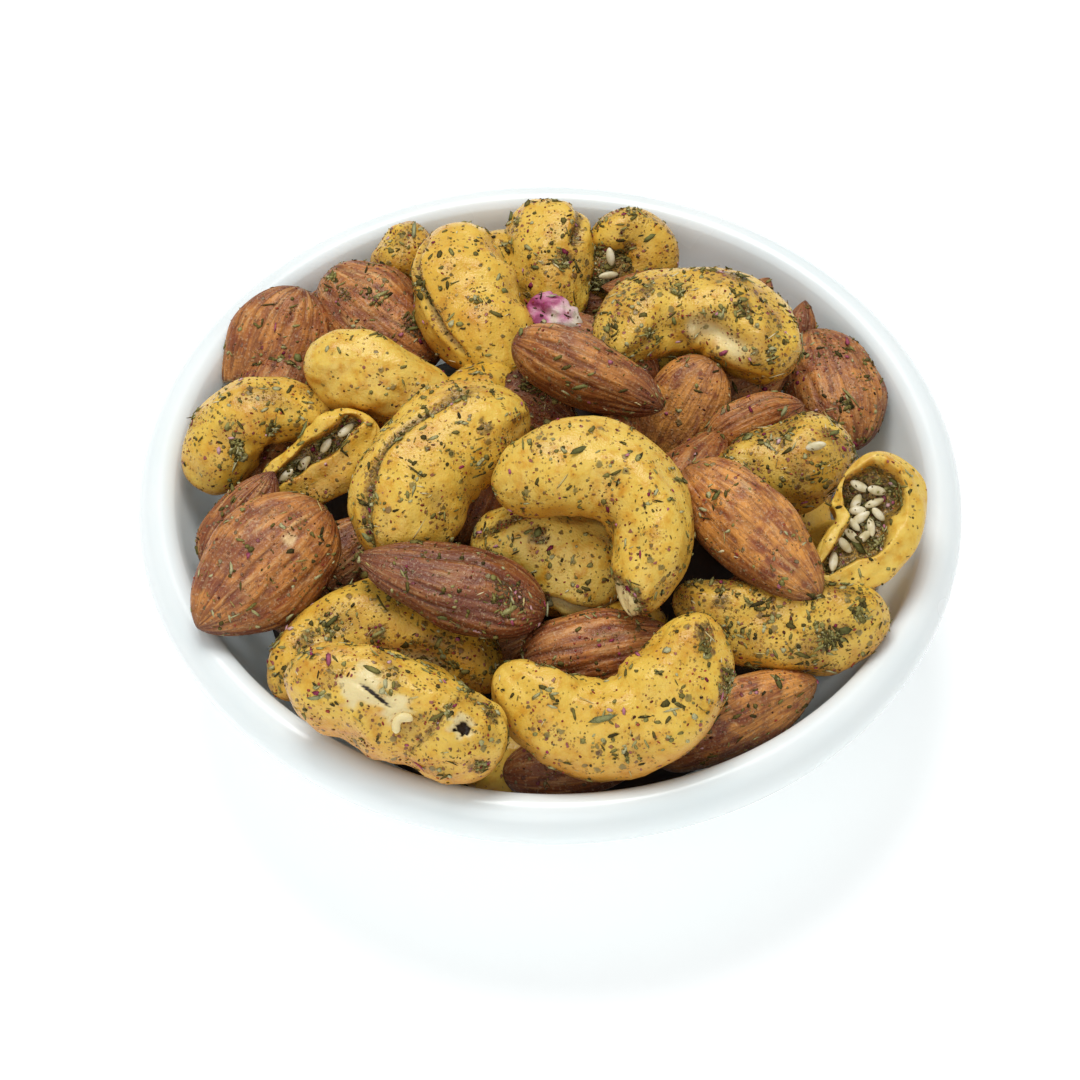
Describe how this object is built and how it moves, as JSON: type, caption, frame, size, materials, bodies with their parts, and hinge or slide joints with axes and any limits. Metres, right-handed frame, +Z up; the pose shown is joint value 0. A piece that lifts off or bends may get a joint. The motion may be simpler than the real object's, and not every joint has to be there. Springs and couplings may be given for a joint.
{
  "type": "bowl of spiced nuts",
  "caption": "Round white glazed dish on a foot ring, heaped with herb-coated cashews and roasted almonds.",
  "frame": {"origin": "centre of the dish's foot ring on the surface it stands on", "axes": "+Z up, -Y towards the side of the dish that the picture shows in front, +X to its right"},
  "size_m": [0.1034, 0.1034, 0.0493],
  "materials": {
    "glaze": "glossy white glaze",
    "nuts": "roasted, satin with oil and dry herbs"
  },
  "bodies": {
    "root": {"bowl": "glaze", "nut_heap": "nuts"}
  },
  "joints": []
}
